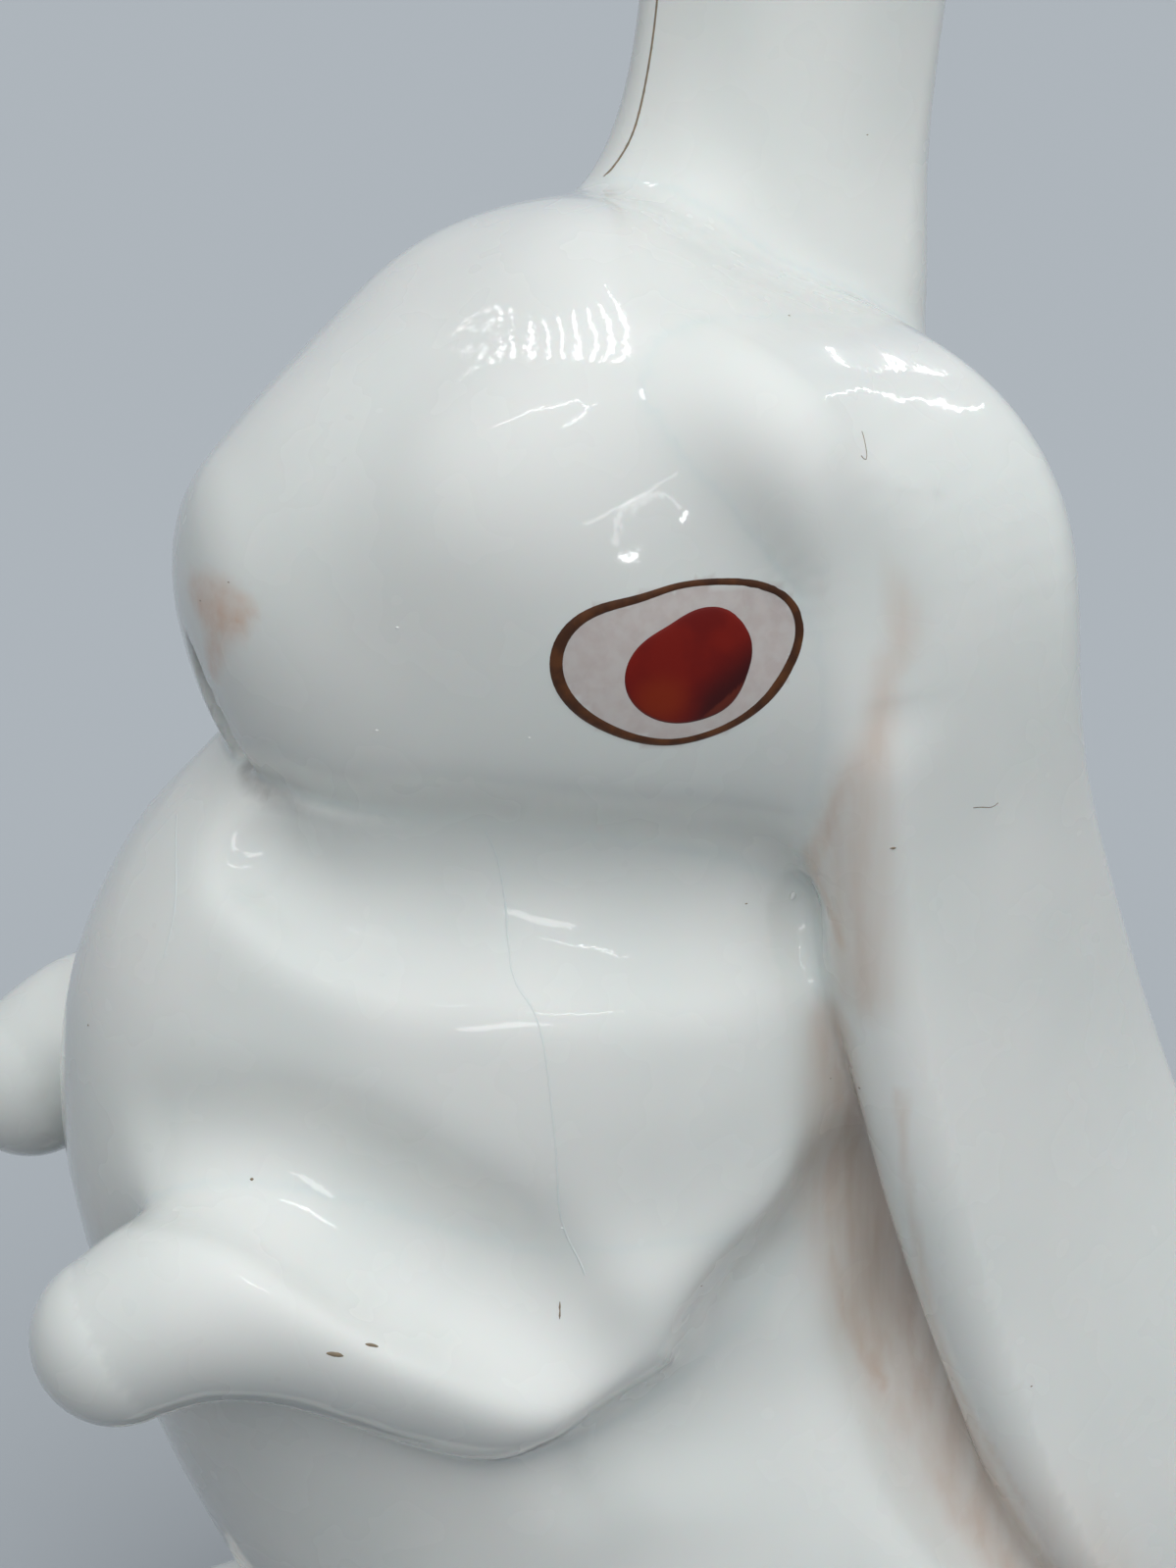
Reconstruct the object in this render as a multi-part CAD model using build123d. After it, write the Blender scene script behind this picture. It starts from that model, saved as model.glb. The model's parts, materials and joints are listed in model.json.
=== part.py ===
from build123d import *
import os

# Porcelain rabbit sitting up on its haunches, with one ear raised and one ear folded down.
# Millimetres. X points to the rabbit's left, Y to its back and Z up. The origin lies on the
# flat foot face, under the middle of the head. Left-hand pieces are mirrored to the right.

# Trunk: one hollow casting with chest, belly and back
trunk_height = 70.0
trunk_depth = 46.0
trunk_width = 34.0
trunk_wall = 3.0
base_thickness = 3.0
vent_bore = 3.6

# Head: a second hollow casting
head_length = 40.0
head_height = 34.4
head_width = 31.6
head_wall = 2.8
neck_bore = 7.0

# Haunches and shoulders: the thigh and shoulder mounds on each side of the trunk
haunch_length = 30.0
haunch_height = 35.0
haunch_width = 19.0
shoulder_length = 28.0
shoulder_height = 26.0
shoulder_width = 16.4

# Forepaws: arm and paw pressed as one solid piece
arm_length = 30.0
arm_thickness = 11.4

# Hind feet and tail
foot_length = 25.0
foot_thickness = 10.0
tail_length = 12.0
tail_width = 13.0

# Upright ear, on the right. The width of either ear is taken between the centres of its rims.
ear_length = 68.0
ear_width = 13.2
ear_thickness = 3.6
ear_channel = 3.0

# Lop ear, on the left. Its length is that of the part that hangs below the fold.
lop_length = 56.0
lop_width = 14.4
lop_thickness = 4.0
lop_channel = 0.8

# Web: the thickening down the back that carries the hanging part of the lop ear
web_thickness = 9.0

# One overrun serves every cut that has to pass a face
overrun = 1.0

# Trunk stations, from the foot face up: height, front, back, half width.
# Heights follow trunk_height, fronts and backs follow trunk_depth, half widths follow trunk_width.
trunk_station_shares = [
    (0.00, -0.26, 0.555, 0.46),
    (0.06, -0.28, 0.575, 0.49),
    (0.14, -0.33, 0.585, 0.50),
    (0.26, -0.40, 0.565, 0.50),
    (0.37, -0.475, 0.52, 0.49),
    (0.47, -0.52, 0.48, 0.47),
    (0.57, -0.555, 0.435, 0.45),
    (0.67, -0.565, 0.40, 0.43),
    (0.77, -0.525, 0.37, 0.405),
    (0.86, -0.43, 0.335, 0.375),
    (0.94, -0.285, 0.31, 0.33),
    (1.00, -0.175, 0.28, 0.235),
]

# Head stations, from the nose to the nape: place along, underside, top, half width.
# Places follow head_length, undersides and tops follow head_height, half widths follow head_width.
head_station_shares = [
    (-0.482, 0.465, 0.52, 0.03),
    (-0.474, 0.40, 0.57, 0.09),
    (-0.45, 0.315, 0.63, 0.165),
    (-0.41, 0.235, 0.675, 0.235),
    (-0.315, 0.125, 0.77, 0.335),
    (-0.195, 0.058, 0.87, 0.425),
    (-0.05, 0.017, 0.96, 0.485),
    (0.10, 0.00, 1.00, 0.50),
    (0.25, 0.035, 0.96, 0.48),
    (0.375, 0.137, 0.865, 0.405),
    (0.46, 0.285, 0.73, 0.28),
    (0.49, 0.39, 0.64, 0.155),
    (0.50, 0.46, 0.57, 0.055),
]
head_seat_share = 0.754
neck_back_share = 0.05

# Arm stations, from the shoulder to the tip of the paw: left, back, up and radius.
# Places follow arm_length from the shoulder, radii follow arm_thickness.
arm_station_shares = [
    (0.00, 0.00, 0.00, 0.47),
    (0.10, -0.20, -0.107, 0.53),
    (0.133, -0.365, -0.135, 0.53),
    (0.137, -0.53, -0.077, 0.51),
    (0.123, -0.70, -0.018, 0.475),
    (0.103, -0.85, -0.027, 0.415),
    (0.087, -0.97, -0.085, 0.35),
    (0.08, -1.045, -0.123, 0.265),
    (0.076, -1.085, -0.143, 0.13),
]
shoulder_joint_shares = (0.28, 0.075, 0.593)

# Foot stations, from the heel to the toes: back, up and radius.
# Places and heights follow foot_length and foot_thickness, radii follow foot_thickness.
foot_station_shares = [
    (0.37, 0.60, 0.55),
    (0.13, 0.54, 0.54),
    (-0.15, 0.48, 0.50),
    (-0.37, 0.44, 0.44),
    (-0.47, 0.41, 0.39),
    (-0.57, 0.395, 0.29),
    (-0.62, 0.39, 0.12),
]
foot_place_shares = (0.31, -0.20)

# Upright ear stations, from the root inside the crown to the tip: left, back, up,
# half width, channel and half thickness. Places follow ear_length from the root.
ear_station_shares = [
    (0.000, -0.006, -0.06, 0.34, 0.30, 0.88),
    (0.000, 0.000, 0.00, 0.41, 0.40, 0.85),
    (-0.004, 0.013, 0.09, 0.42, 0.60, 0.72),
    (-0.012, 0.030, 0.205, 0.395, 0.80, 0.56),
    (-0.021, 0.046, 0.38, 0.44, 0.93, 0.47),
    (-0.029, 0.056, 0.62, 0.47, 0.90, 0.44),
    (-0.035, 0.060, 0.825, 0.395, 0.70, 0.42),
    (-0.038, 0.062, 0.93, 0.27, 0.40, 0.39),
    (-0.040, 0.062, 0.975, 0.15, 0.20, 0.36),
    (-0.040, 0.062, 0.995, 0.07, 0.07, 0.16),
]
ear_root_shares = (-0.222, 0.26, 0.79)
ear_turn = 14.0

# Lop ear stations over the fold, from the root in the crown: left, back, up, half width, channel
# and half thickness. Places follow the width, length and height of the head that the ear lies on.
lop_fold_shares = [
    (0.127, 0.125, 0.727, 0.45, 0.60, 0.80),
    (0.285, 0.225, 0.735, 0.39, 0.40, 0.75),
    (0.383, 0.295, 0.640, 0.33, 0.25, 0.68),
    (0.430, 0.318, 0.442, 0.285, 0.40, 0.62),
]
# Lop ear stations below the fold, down to the tip. Places follow lop_length from the fold's end.
lop_hang_shares = [
    (0.009, 0.021, -0.143, 0.32, 0.65, 0.575),
    (0.014, 0.066, -0.321, 0.42, 1.00, 0.525),
    (0.025, 0.138, -0.536, 0.47, 1.10, 0.475),
    (0.043, 0.220, -0.750, 0.45, 0.90, 0.45),
    (0.039, 0.273, -0.900, 0.34, 0.50, 0.41),
    (0.036, 0.296, -0.964, 0.23, 0.25, 0.37),
    (0.034, 0.304, -0.988, 0.13, 0.10, 0.18),
]
# The direction across the ear at each station, from the fold to the tip
lop_across_shares = [
    (0.55, -0.80, 0.20),
    (0.50, -0.80, 0.25),
    (0.42, -0.85, 0.15),
    (0.30, -0.95, 0.00),
    (0.30, -0.95, 0.00),
    (0.40, -0.90, 0.00),
    (0.42, -0.85, -0.25),
    (0.35, -0.85, -0.35),
    (0.32, -0.85, -0.40),
    (0.30, -0.85, -0.45),
    (0.30, -0.85, -0.45),
]

# Web stations, one behind each of the first stations below the fold: how far the web lies inwards
# and forwards of the ear's middle, and its radius. All follow web_thickness.
web_station_shares = [
    (0.62, 0.21, 0.38),
    (0.40, 0.33, 0.43),
    (0.32, 0.48, 0.49),
    (0.38, 0.50, 0.47),
    (0.42, 0.72, 0.24),
]

# Places of the mounds and the tail, as shares of the trunk's width, depth and height
haunch_place_shares = (0.32, 0.24, 0.22)
shoulder_place_shares = (0.235, -0.02, 0.664)
tail_place_shares = (0.61, 0.157)

head_seat = head_seat_share * trunk_height


def trunk_point(left_share, back_share, up_share):
    return Vector(left_share * trunk_width, back_share * trunk_depth, up_share * trunk_height)


def head_point(left_share, back_share, up_share):
    height = head_seat + up_share * head_height
    return Vector(left_share * head_width, back_share * head_length, height)


def trunk_loft(inset):
    sections = []
    for up, front, back, half_width in trunk_station_shares:
        y_front = front * trunk_depth + inset
        y_back = back * trunk_depth - inset
        middle = Plane((0, (y_front + y_back) / 2, up * trunk_height), x_dir=(0, 1, 0))
        sections.append(middle * Ellipse((y_back - y_front) / 2, half_width * trunk_width - inset))
    return loft(sections)


def head_loft(inset):
    sections = []
    for along, under, top, half_width in head_station_shares:
        half_height = (top - under) * head_height / 2
        shrink = 1 - inset / (head_width / 2)
        centre = head_point(0, 0, (top + under) / 2)
        middle = Plane((0, along * head_length * shrink, centre.Z), x_dir=(0, 0, -1), z_dir=(0, 1, 0))
        sections.append(middle * Ellipse(half_height * shrink, half_width * head_width * shrink))
    return loft(sections)


def mound(place_shares, length, height, width, side):
    unit_ball = Sphere(1)
    ball = scale(unit_ball, by=(width / 2, length / 2, height / 2))
    place = trunk_point(*place_shares)
    return Pos(side * place.X, place.Y, place.Z) * ball


def tube_along(points, radii, across):
    """A solid limb: round sections square to a smooth path through the points."""
    path = Spline(*points)
    sections = []
    for point, radius in zip(points, radii):
        along = path.tangent_at(path.param_at_point(point))
        sections.append(Plane(point, x_dir=across, z_dir=along) * Circle(radius))
    return loft(sections)


def forepaw_form():
    shoulder = trunk_point(*shoulder_joint_shares)
    points = [shoulder + Vector(*place) * arm_length for *place, _ in arm_station_shares]
    radii = [radius * arm_thickness for *_, radius in arm_station_shares]
    return tube_along(points, radii, across=(-1, 0, 0))


def foot_form():
    left, back = foot_place_shares
    points = []
    radii = []
    for along, up, radius in foot_station_shares:
        y = back * trunk_depth + along * foot_length
        points.append(Vector(left * trunk_width, y, up * foot_thickness))
        radii.append(radius * foot_thickness)
    return tube_along(points, radii, across=(-1, 0, 0))


def channel_section(plane, half_width, channel, half_thickness):
    """The outline of an ear across its length: a strip with round rims, hollowed on one side."""
    low = channel - half_thickness
    high = channel + half_thickness
    reach = half_width + half_thickness
    back = ThreePointArc((-half_width, low), (0, -half_thickness), (half_width, low))
    near_rim = ThreePointArc((half_width, low), (reach, channel), (half_width, high))
    front = ThreePointArc((half_width, high), (0, half_thickness), (-half_width, high))
    far_rim = ThreePointArc((-half_width, high), (-reach, channel), (-half_width, low))
    return plane * make_face(Curve() + [back, near_rim, front, far_rim])


def ear_along(points, width_directions, shapes):
    """A solid ear: channel sections square to a smooth path through the points."""
    path = Spline(*points)
    sections = []
    for point, across, shape in zip(points, width_directions, shapes):
        along = path.tangent_at(path.param_at_point(point))
        sections.append(channel_section(Plane(point, x_dir=across, z_dir=along), *shape))
    return loft(sections)


def upright_ear_form():
    root = head_point(*ear_root_shares)
    points = []
    shapes = []
    for left, back, up, half_width, channel, half_thickness in ear_station_shares:
        points.append(root + Vector(left, back, up) * ear_length)
        rim = half_thickness * ear_thickness
        shapes.append((half_width * ear_width, channel * ear_channel, rim))
    across = Vector(0, 1, 0).rotate(Axis.Z, -ear_turn)
    return ear_along(points, [across] * len(points), shapes)


def lop_fold_points():
    return [head_point(left, back, up) for left, back, up, *_ in lop_fold_shares]


def lop_hang_points():
    fold_end = lop_fold_points()[-1]
    return [fold_end + Vector(left, back, up) * lop_length for left, back, up, *_ in lop_hang_shares]


def lop_ear_form():
    shapes = []
    for *_, half_width, channel, half_thickness in lop_fold_shares + lop_hang_shares:
        shapes.append((half_width * lop_width, channel * lop_channel, half_thickness * lop_thickness))
    return ear_along(lop_fold_points() + lop_hang_points(), lop_across_shares, shapes)


def ear_web_form():
    """The web between the back and the lop ear, following the ear from below the head to the haunch."""
    points = []
    radii = []
    for ear_point, (inwards, forwards, radius) in zip(lop_hang_points(), web_station_shares):
        points.append(ear_point - Vector(inwards, forwards, 0) * web_thickness)
        radii.append(radius * web_thickness)
    return tube_along(points, radii, across=(1, 0, 0))


def above_table(shape):
    """What is left of a shape above the plane of the foot face."""
    reach = 2 * (trunk_depth + foot_length)
    slab = Box(reach, reach, head_seat, align=(Align.CENTER, Align.CENTER, Align.MAX))
    return shape - slab


def trunk_outer_form():
    """The trunk as it looks from outside: the loft with its thigh and shoulder mounds and its web."""
    outer = trunk_loft(0) + ear_web_form()
    for side in (1, -1):
        outer += mound(haunch_place_shares, haunch_length, haunch_height, haunch_width, side)
        outer += mound(shoulder_place_shares, shoulder_length, shoulder_height, shoulder_width, side)
    return above_table(outer)


def make_trunk(outer, head_outer):
    """The hollow body: open below for the base, and hollowed above to cup the head."""
    return outer - trunk_loft(trunk_wall) - head_outer


def make_base_plate():
    """The disc that closes the trunk, with the hole that lets air out in the firing."""
    slab = Box(trunk_width, 2 * trunk_depth, base_thickness, align=(Align.CENTER, Align.CENTER, Align.MIN))
    _, front, back, _ = trunk_station_shares[0]
    vent_place = Pos(0, (front + back) / 2 * trunk_depth, base_thickness / 2)
    vent = vent_place * Cylinder(vent_bore / 2, base_thickness + overrun)
    return (trunk_loft(trunk_wall) & slab) - vent


def make_head(outer):
    """The hollow head, with an air hole down into the neck."""
    neck = Pos(head_point(0, neck_back_share, 0)) * Cylinder(neck_bore / 2, 4 * head_wall)
    return outer - head_loft(head_wall) - neck


def make_tail(trunk_outer):
    ball = scale(Sphere(1), by=(tail_width / 2, tail_length / 2, tail_width / 2))
    return Pos(trunk_point(0, *tail_place_shares)) * ball - trunk_outer


def save(shape, node):
    export_step(shape, "parts/" + node + ".step")


os.makedirs("parts", exist_ok=True)

trunk_outer = trunk_outer_form()
head_outer = head_loft(0)
left_arm = forepaw_form() - trunk_outer - head_outer
left_foot = above_table(foot_form()) - trunk_outer

save(make_trunk(trunk_outer, head_outer), "trunk")
save(make_base_plate(), "base_plate")
save(make_head(head_outer), "head")
save(upright_ear_form() - head_outer, "upright_ear")
save(lop_ear_form() - head_outer - trunk_outer - left_arm, "lop_ear")
save(left_arm, "left_forepaw")
save(mirror(left_arm, about=Plane.YZ), "right_forepaw")
save(left_foot, "left_hind_foot")
save(mirror(left_foot, about=Plane.YZ), "right_hind_foot")
save(make_tail(trunk_outer), "tail")
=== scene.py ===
"""A seated porcelain rabbit with one raised and one hanging ear, glazed white over painted eyes."""

import json
import math

import bpy
import numpy as np
from mathutils import Matrix, Vector

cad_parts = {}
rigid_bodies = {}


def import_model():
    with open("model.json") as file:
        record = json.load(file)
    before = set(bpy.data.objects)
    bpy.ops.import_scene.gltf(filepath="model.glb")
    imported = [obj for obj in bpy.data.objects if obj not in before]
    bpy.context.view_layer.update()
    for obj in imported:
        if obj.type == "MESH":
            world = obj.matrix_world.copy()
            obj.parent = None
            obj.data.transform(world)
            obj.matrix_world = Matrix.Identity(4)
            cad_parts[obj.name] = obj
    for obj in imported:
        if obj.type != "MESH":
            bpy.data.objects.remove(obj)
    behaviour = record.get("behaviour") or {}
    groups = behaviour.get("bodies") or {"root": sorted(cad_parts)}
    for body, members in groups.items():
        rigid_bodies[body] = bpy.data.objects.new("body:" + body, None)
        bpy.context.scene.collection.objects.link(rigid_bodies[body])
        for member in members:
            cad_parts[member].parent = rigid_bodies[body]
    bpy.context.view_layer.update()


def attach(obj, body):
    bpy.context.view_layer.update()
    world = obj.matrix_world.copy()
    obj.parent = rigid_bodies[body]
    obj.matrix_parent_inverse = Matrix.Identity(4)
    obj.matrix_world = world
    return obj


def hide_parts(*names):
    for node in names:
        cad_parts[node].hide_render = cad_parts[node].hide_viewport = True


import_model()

MM = 0.001  # the forms below are in millimetres, the scene in metres
PHOTO_HEIGHT = 1599  # pixels
CELL = 0.48  # mm between the samples of the surface
BLOCK = 4  # samples along the side of a coarse block
FAR = 9.0  # mm beyond which a limb or an ear has no say


def place_object(name, data):
    made = bpy.data.objects.new(name, data)
    bpy.context.scene.collection.objects.link(made)
    return made


# camera


def direction(azimuth, elevation):
    """The way to look back from the rabbit: azimuth 0 is its front and 90 its left."""
    turn, tilt = math.radians(azimuth), math.radians(elevation)
    return math.sin(turn) * math.cos(tilt), -math.cos(turn) * math.cos(tilt), math.sin(tilt)


def place_camera(target=(0, 0, 0.058), distance=0.2, azimuth=74, elevation=24, focal_pixels=4300):
    data = bpy.data.cameras.new("camera")
    data.lens = data.sensor_width * focal_pixels / PHOTO_HEIGHT
    data.clip_start = 0.01
    camera = place_object("camera", data)
    back = Vector(direction(azimuth, elevation))
    camera.location = Vector(target) + back * distance
    camera.rotation_euler = (-back).to_track_quat("-Z", "Y").to_euler()
    bpy.context.scene.camera = camera


place_camera()


# tools for soft forms: every form is a distance in millimetres, below zero inside


def spline(places, values):
    """A natural cubic spline through rows of values; it runs on straight past its ends."""
    places = np.asarray(places, float)
    values = np.asarray(values, float)
    count = len(places)
    gaps = np.diff(places)[:, None]
    rises = np.diff(values, axis=0) / gaps
    system = np.eye(count)
    load = np.zeros_like(values)
    for i in range(1, count - 1):
        before, after = gaps[i - 1, 0], gaps[i, 0]
        system[i, i - 1:i + 2] = before, 2 * (before + after), after
        load[i] = 3 * (rises[i] - rises[i - 1])
    bend = np.linalg.solve(system, load)
    slope = rises - gaps * (2 * bend[:-1] + bend[1:]) / 3
    twist = np.diff(bend, axis=0) / (3 * gaps)

    def curve(at):
        inside = np.clip(at, places[0], places[-1])
        span = np.clip(np.searchsorted(places, inside) - 1, 0, count - 2)
        t = (inside - places[span])[..., None]
        tangent = slope[span] + t * (2 * bend[span] + 3 * t * twist[span])
        value = values[span] + t * (slope[span] + t * (bend[span] + t * twist[span]))
        return value + tangent * (at - inside)[..., None], tangent

    return curve


def soft_union(a, b, reach):
    near = np.maximum(reach - np.abs(a - b), 0) / reach
    return np.minimum(a, b) - near ** 3 * reach / 6


def soft_cut(a, b, reach):
    """a without the places where b is below zero."""
    return -soft_union(-a, b, reach)


def ramp(x, low, high):
    t = np.clip((x - low) / (high - low), 0, 1)
    return t * t * (3 - 2 * t)


def lofted(stations, along, span, deepest=-12):
    """A body with elliptical sections: rows of place, low, high and half width."""
    place, low, high, half_width = np.asarray(stations, float).T
    curve = spline(place, np.stack([(low + high) / 2, (high - low) / 2 / half_width, half_width ** 2], 1))

    def form(p):
        at = np.clip(p[..., along], place[0], place[-1])
        value, slope = curve(at)
        middle, stretch, square = np.moveaxis(value, -1, 0)
        square = square + slope[..., 2] * (p[..., along] - at)
        x, s = p[..., 0], (p[..., span] - middle) / stretch
        climb = 2 * s * (slope[..., 0] + s * slope[..., 1]) / stretch + slope[..., 2]
        steepness = np.sqrt(4 * x * x + (2 * s / stretch) ** 2 + climb ** 2 + 1e-6)
        return np.maximum((x * x + s * s - square) / steepness, deepest)

    return form


def ball(centre, halves):
    centre, halves = np.array(centre, float), np.array(halves, float)

    def form(p):
        off = p - centre
        reach = np.linalg.norm(off / halves, axis=-1)
        pull = np.linalg.norm(off / halves ** 2, axis=-1)
        return reach * (reach - 1) / np.maximum(pull, 1e-9)

    return form


def blend_rows(table, before, share):
    return table[before] * (1 - share) + table[before + 1] * share


class Path:
    """Even samples along a smooth line, with the tables that are carried along it."""

    def __init__(self, points, *tables, steps=64):
        points = np.asarray(points, float)
        run = np.r_[0, np.cumsum(np.linalg.norm(np.diff(points, axis=0), axis=1))]
        at = np.linspace(0, run[-1], steps)
        self.step = at[1]
        self.line, self.tangent = spline(run, points)(at)
        self.tangent /= np.linalg.norm(self.tangent, axis=1)[:, None]
        self.tables = [spline(run, table)(at)[0] for table in tables]
        self.margin = 0.0

    def near(self, p):
        low, high = self.line.min(0) - self.margin - FAR, self.line.max(0) + self.margin + FAR
        return np.all((p > low) & (p < high), axis=-1)

    def gap(self, p):
        """The distance from the form where it is near, and FAR elsewhere."""
        gap = np.full(len(p), FAR)
        near = self.near(p)
        gap[near] = self(p[near])
        return gap

    def foot(self, p, rounds=3, least=0.35):
        """The sample before each point's foot on the line, and its share of the way to the next."""
        best = np.full(len(p), np.inf)
        place = np.zeros(len(p))
        for i, sample in enumerate(self.line):
            gap = np.sum((p - sample) ** 2, axis=1)
            closer = gap < best
            best[closer], place[closer] = gap[closer], i
        last = len(self.line) - 1.001
        place = np.minimum(place, last)
        for _ in range(rounds):
            before = place.astype(int)
            share = (place - before)[:, None]
            off = p - blend_rows(self.line, before, share)
            ahead = np.sum(off * blend_rows(self.tangent, before, share), axis=1) / self.step
            bend = np.sum(off * (self.tangent[before + 1] - self.tangent[before]), axis=1) / self.step
            place = np.clip(place + np.clip(ahead / np.maximum(1 - bend, least), -1, 1), 0, last)
        before = place.astype(int)
        return before, (place - before)[:, None]


class Limb(Path):
    """A round limb: rows of left, back, up and radius."""

    def __init__(self, stations, side=1):
        rows = np.array(stations, float)
        rows[:, 0] *= side
        super().__init__(rows[:, :3], rows[:, 3:])
        self.margin = rows[:, 3].max()

    def __call__(self, p):
        before, share = self.foot(p)
        off = p - blend_rows(self.line, before, share)
        return np.linalg.norm(off, axis=1) - blend_rows(self.tables[0], before, share)[:, 0]

    def rise(self, p):
        """How far above the limb's middle line each point is."""
        before, share = self.foot(p)
        return p[:, 2] - blend_rows(self.line, before, share)[:, 2]


class Ear(Path):
    """A channelled ear: rows of left, back, up, half width, channel, half thickness, rim, and the
    direction across the ear towards that rim."""

    def __init__(self, stations):
        rows = np.array(stations, float)
        super().__init__(rows[:, :3], rows[:, 3:7], rows[:, 7:])
        self.shape, across = self.tables
        across = across - self.tangent * np.sum(across * self.tangent, axis=1)[:, None]
        self.across = across / np.linalg.norm(across, axis=1)[:, None]
        self.face = np.cross(self.tangent, self.across)
        self.margin = rows[:, 3].max() + rows[:, 5].max()

    def local(self, p):
        """Across, out of the face and past the line; the shape there; and the place along the line."""
        before, share = self.foot(p)
        off = p - blend_rows(self.line, before, share)
        width, depth, past = (np.sum(off * blend_rows(axes, before, share), axis=1)
                              for axes in (self.across, self.face, self.tangent))
        return width, depth, past, blend_rows(self.shape, before, share).T, before + share[:, 0]

    def __call__(self, p):
        width, depth, past, (half, channel, thick, rim), place = self.local(p)
        half = np.maximum(half, 0.2)
        curl = channel / half ** 2
        foot = np.clip(width, -half, half)
        for _ in range(3):
            pull = foot - width + 2 * curl * foot * (curl * foot ** 2 - depth)
            foot = foot - pull / np.maximum(1 + 6 * (curl * foot) ** 2 - 2 * curl * depth, 0.4)
            foot = np.clip(foot, -half, half)
        past = np.where((place <= 0) | (place >= len(self.line) - 1.002), past, 0)
        reach = np.sqrt((width - foot) ** 2 + (depth - curl * foot ** 2) ** 2 + past ** 2)
        return reach - thick * (1 + rim * np.clip(foot / half, 0, 1) ** 4)


# the rabbit's forms, in millimetres: +X its left, -Y the way it faces, +Z up

TRUNK = [  # height, front, back, half width
    (0, -12, 25.5, 15.8), (4, -13, 26.5, 16.6), (10, -15, 27, 17), (18, -18.5, 26, 17),
    (26, -21.8, 24, 16.6), (33, -24, 22, 16), (40, -25.5, 20, 15.2), (47, -25.6, 18.5, 14.6),
    (54, -23.6, 17, 13.8), (60, -19.2, 15.5, 12.8), (66, -12.5, 14.5, 11.2), (70, -8, 13, 8),
]
HEAD = [  # place along the head, underside, top, half width
    (-19.2, 68.4, 71.2, 1.5), (-18.5, 65.1, 73.6, 4.3), (-16.5, 61, 75.9, 7.3),
    (-12.6, 57.1, 79.2, 10.6), (-7.8, 54.8, 82.8, 13.4), (-2, 53.4, 85.8, 15.3),
    (4, 52.8, 85.1, 15.8), (10, 54, 81.4, 15.2), (15, 57.5, 79.2, 12.8), (18.5, 62.5, 76.6, 8.8),
    (20, 68.5, 73, 2.5),
]
LEFT_ARM = [  # left, back, up, radius
    (9.5, 3.5, 40.5, 5.2), (12.7, -2.5, 37.5, 5.6), (13.9, -7.5, 36.7, 5.4),
    (14, -12.5, 38.5, 5.2), (13.4, -17.5, 40.5, 5), (12.7, -22, 40.5, 4.6),
    (12.1, -25.6, 38.9, 4),
]
RIGHT_ARM = [  # held a little higher in front
    (left, back, up, radius) for (left, back, _, radius), up
    in zip(LEFT_ARM, (40.5, 37.5, 36.9, 38.9, 41.1, 41.2, 39.9))
]
HIND_FOOT = [
    (10.5, 0, 6, 5.5), (10.5, -6, 5.4, 5.4), (10.5, -13, 4.8, 5), (10.4, -18.5, 4.4, 4.4),
    (10.2, -21, 4.1, 3.9),
]
RAISED_EAR = [  # left, back, up, half width, channel, half thickness; then its plain rim and way across
    (*row, 0, .25, 1, 0) for row in (
        (-6.8, 9.8, 75, 5.2, 1, 3.2), (-7, 10.4, 80, 5.2, 1.2, 3), (-7.3, 11.3, 86, 5, 1.8, 2.4),
        (-7.8, 12.45, 94, 5.2, 2.4, 2), (-8.4, 13.5, 106, 5.8, 2.8, 1.7), (-9, 14.2, 122, 6.2, 2.7, 1.6),
        (-9.4, 14.5, 136, 5.2, 2.1, 1.5), (-9.6, 14.6, 143, 3.6, 1.2, 1.4), (-9.7, 14.6, 146, 1.6, .5, 1.3))
]
HANGING_EAR = [  # left, back, up, half width, channel, half thickness, rim, across x, y, z
    (4, 5, 77.8, 6.5, .5, 3.2, 0, .55, -.8, .2), (9, 9, 78.1, 5.6, .3, 3, 0, .5, -.8, .25),
    (12.1, 11.8, 74.8, 4.7, .2, 2.7, 0, .42, -.85, .15), (13.6, 12.7, 68, 4.1, .3, 2.5, .08, .3, -.95, 0),
    (14.1, 13.9, 60, 4.6, .5, 2.2, .2, .3, -.95, 0), (14.4, 16.4, 50, 6, .8, 2, .3, .4, -.9, 0),
    (15, 20.4, 38, 6.8, .9, 1.8, .3, .42, -.85, -.25),
    (16, 25, 26, 6.5, .7, 1.7, .25, .35, -.85, -.35),
    (15.6, 29.3, 14, 3.6, .2, 1.5, 0, .3, -.85, -.45),
]
WEB = [  # the fill that carries the hanging ear on the back
    (8.5, 12, 60, 3.4), (10.8, 13.4, 50, 3.9), (12, 15.4, 41, 4.3), (12.6, 17.9, 33, 4.5),
    (12.6, 20.5, 26, 4.2), (12.4, 23, 19, 3.2),
]
TROUGH = [  # the hollow in front of the hanging ear's edge
    (16.9, 8.2, 60, 1), (17.3, 8.2, 51, 2.2), (17.2, 9.4, 41, 3.1), (18.6, 11.7, 31, 3.4),
    (20.7, 16.9, 22.5, 3.2), (21, 22.5, 15, 2.6),
]
CLEFT = [  # the split of the upper lip
    (1.2, -19.5, 68.2, .3), (1.7, -19.1, 66.6, .7), (2.1, -18.4, 65, .95), (2.3, -17.5, 63.2, 1.05),
    (2.2, -16.7, 61.4, 1), (1.6, -15.2, 59.6, .6),
]
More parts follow.
